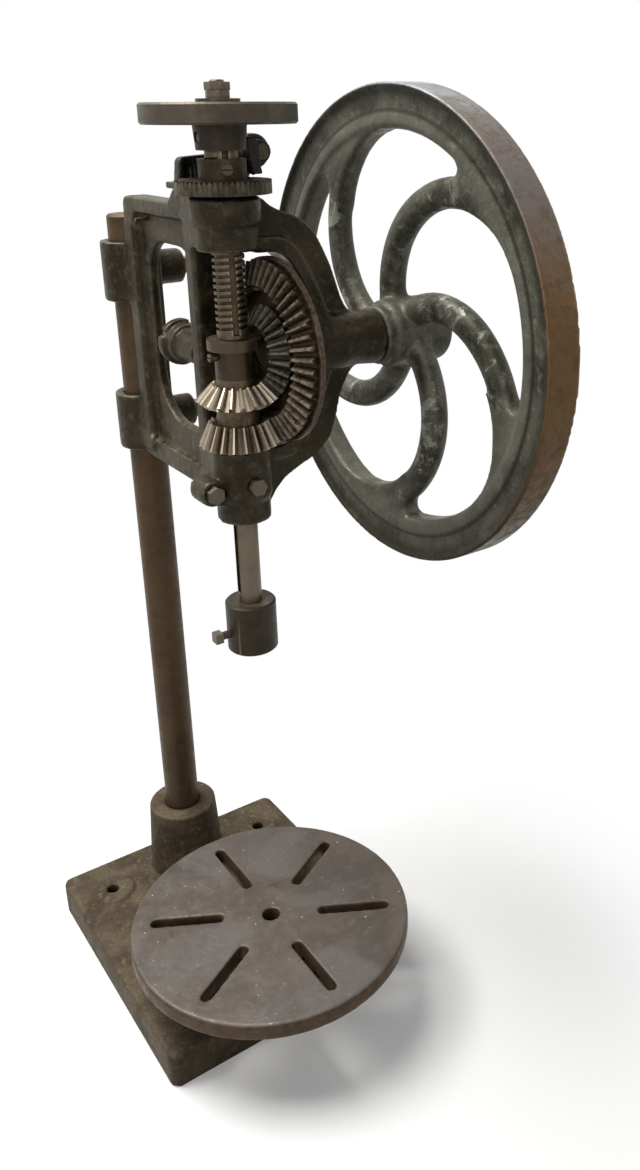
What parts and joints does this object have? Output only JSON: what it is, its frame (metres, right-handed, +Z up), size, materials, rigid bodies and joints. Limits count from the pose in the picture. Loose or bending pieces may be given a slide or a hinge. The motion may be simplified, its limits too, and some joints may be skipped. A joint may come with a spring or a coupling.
{
  "type": "hand crank post drill",
  "caption": "Hand-turned column drill with a flywheel, bevel gears in mesh, a screw-fed spindle, a round slotted table and a heavy base.",
  "frame": {"origin": "on the floor, under the spindle's axis", "axes": "+Z up along the spindle, +Y to the column at the back, +X along the crankshaft to the flywheel"},
  "size_m": [0.338, 0.454, 0.853],
  "materials": {
    "frame_iron": "bare sand cast, oiled",
    "base_iron": "bare sand cast, oiled",
    "table_iron": "turned face, worn",
    "wheel_iron": "turned rim, cast arms",
    "column_steel": "worn, lightly rusted",
    "gear_iron": "cast, browned",
    "small_gear_iron": "cast, oiled",
    "pinion_steel": "cut teeth, bright",
    "spindle_steel": "turned, worn",
    "ratchet_iron": "turned, browned",
    "handwheel_iron": "turned, browned",
    "chuck_iron": "turned, dark",
    "bracket_paint": "black-green, semi-gloss",
    "screw_steel": "worn, dark"
  },
  "bodies": {
    "base": {"base_plate": "base_iron", "socket_set_screw": "screw_steel", "table_lock_screw": "screw_steel"},
    "table_top": {"table": "table_iron"},
    "post": {"column": "column_steel"},
    "head": {"head_frame": "frame_iron", "head_clamp_screws": "screw_steel", "bearing_pinch_bolt": "screw_steel", "bearing_pinch_nut": "screw_steel", "bearing_set_screw": "screw_steel", "frame_pin": "screw_steel", "feed_lever_stub": "frame_iron", "pawl_bracket": "bracket_paint", "pawl_bracket_screws": "screw_steel", "pawl_pin": "screw_steel"},
    "pawl": {"feed_pawl": "bracket_paint"},
    "crank": {"crankshaft": "spindle_steel", "inner_bevel_gear": "small_gear_iron", "outer_bevel_gear": "gear_iron", "gear_key": "screw_steel", "flywheel": "wheel_iron", "flywheel_key": "screw_steel", "flywheel_set_screw": "screw_steel"},
    "pinion_above": {"upper_pinion": "pinion_steel", "pinion_key_screw": "screw_steel"},
    "pinion_below": {"lower_pinion": "pinion_steel"},
    "feed_carrier": {"thrust_washer": "spindle_steel"},
    "screw_and_handwheel": {"feed_screw": "spindle_steel", "handwheel": "handwheel_iron", "handwheel_set_screw": "screw_steel"},
    "spindle_and_chuck": {"spindle": "spindle_steel", "chuck": "chuck_iron", "top_washer": "screw_steel", "top_nuts": "screw_steel"},
    "tool_screw": {"chuck_screw": "screw_steel"},
    "ratchet": {"ratchet_wheel": "ratchet_iron", "ratchet_key_screw": "screw_steel"}
  },
  "joints": [
    {"name": "table_turn", "type": "hinge", "parent": "base", "child": "table_top", "pos_m": [0, 0, 0.102], "axis": [0, 0, 1], "continuous": true},
    {"name": "head_swing", "type": "hinge", "parent": "base", "child": "post", "pos_m": [0, 0.199, 0.1], "axis": [0, 0, 1], "continuous": true},
    {"name": "head_slide", "type": "slide", "parent": "post", "child": "head", "axis": [0, 0, 1], "range_m": [-0.25, 0.02]},
    {"name": "crank_spin", "type": "hinge", "parent": "head", "child": "crank", "pos_m": [0.1, 0, 0.65], "axis": [1, 0, 0], "continuous": true},
    {"name": "upper_pinion_spin", "type": "hinge", "parent": "head", "child": "pinion_above", "pos_m": [0, 0, 0.64], "axis": [0, 0, 1], "continuous": true},
    {"name": "lower_pinion_spin", "type": "hinge", "parent": "head", "child": "pinion_below", "pos_m": [0, 0, 0.59], "axis": [0, 0, 1], "continuous": true},
    {"name": "feed_travel", "type": "slide", "parent": "head", "child": "feed_carrier", "axis": [0, 0, 1], "range_m": [0, 0.06]},
    {"name": "feed_screw_turn", "type": "hinge", "parent": "feed_carrier", "child": "screw_and_handwheel", "pos_m": [0, 0, 0.75], "axis": [0, 0, 1], "range_deg": [0, 4320]},
    {"name": "spindle_spin", "type": "hinge", "parent": "feed_carrier", "child": "spindle_and_chuck", "pos_m": [0, 0, 0.55], "axis": [0, 0, 1], "continuous": true},
    {"name": "tool_screw_slide", "type": "slide", "parent": "spindle_and_chuck", "child": "tool_screw", "axis": [1, 0, 0], "range_m": [0, 0.0025]},
    {"name": "ratchet_turn", "type": "hinge", "parent": "head", "child": "ratchet", "pos_m": [0, 0, 0.778], "axis": [0, 0, 1], "range_deg": [0, 4320]},
    {"name": "pawl_swing", "type": "hinge", "parent": "head", "child": "pawl", "pos_m": [0.048, 0, 0.8015], "axis": [0, 1, 0], "range_deg": [-5.7, 0]}
  ],
  "couplings": [
    {"joint": "upper_pinion_spin", "follows": "crank_spin", "ratio": 1.2},
    {"joint": "lower_pinion_spin", "follows": "crank_spin", "ratio": 2.4},
    {"joint": "spindle_spin", "follows": "crank_spin", "ratio": 1.2},
    {"joint": "feed_travel", "follows": "feed_screw_turn", "m_per_rad": 0.00079577},
    {"joint": "ratchet_turn", "follows": "feed_screw_turn", "ratio": 1}
  ]
}
